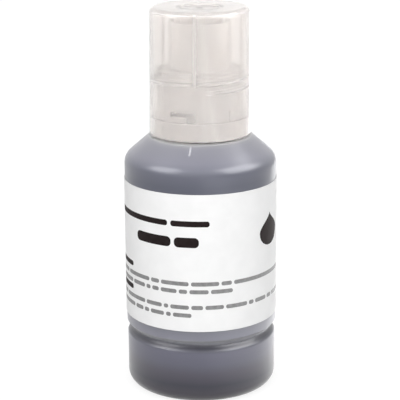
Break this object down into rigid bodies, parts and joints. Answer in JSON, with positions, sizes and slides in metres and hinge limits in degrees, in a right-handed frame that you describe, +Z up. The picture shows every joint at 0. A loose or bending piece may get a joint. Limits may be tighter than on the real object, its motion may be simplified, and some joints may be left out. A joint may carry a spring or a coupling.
{
  "type": "ink refill bottle",
  "caption": "Round translucent ink refill bottle with a shoulder, a grip groove, a wrapped white label, a keyed spout collar and a tall frosted screw cap.",
  "frame": {"origin": "centre of the flat ring that the bottle stands on", "axes": "+Z up the bottle's axis from base to cap, -Y the side that the middle of the label faces, +X to the right of the label"},
  "size_m": [0.0482, 0.0481, 0.1218],
  "materials": {
    "bottle_wall": "satin translucent blow-moulded plastic, smoky because dark ink stands behind it",
    "ink": "black liquid",
    "label_paper": "smooth white paper with black print",
    "seal_foam": "soft foamed plastic",
    "collar_plastic": "milky natural polypropylene",
    "valve_rubber": "soft silicone, greyed by ink",
    "cap_plastic": "frosted translucent polypropylene"
  },
  "bodies": {
    "bottle": {"bottle": "bottle_wall", "ink": "ink", "label": "label_paper", "neck_seal": "seal_foam", "spout_collar": "collar_plastic", "slit_valve": "valve_rubber", "valve_retainer": "collar_plastic"},
    "liner": {"cap_liner": "seal_foam"},
    "cap": {"cap_shell": "cap_plastic"}
  },
  "joints": [
    {"name": "cap_rise", "type": "slide", "parent": "bottle", "child": "liner", "axis": [0, 0, 1], "range_m": [0, 0.0038]},
    {"name": "cap_turn", "type": "hinge", "parent": "liner", "child": "cap", "pos_m": [0, 0, 0.1], "axis": [0, 0, 1], "range_deg": [0, 450]}
  ],
  "couplings": [
    {"joint": "cap_rise", "follows": "cap_turn", "m_per_rad": 0.00047746}
  ]
}
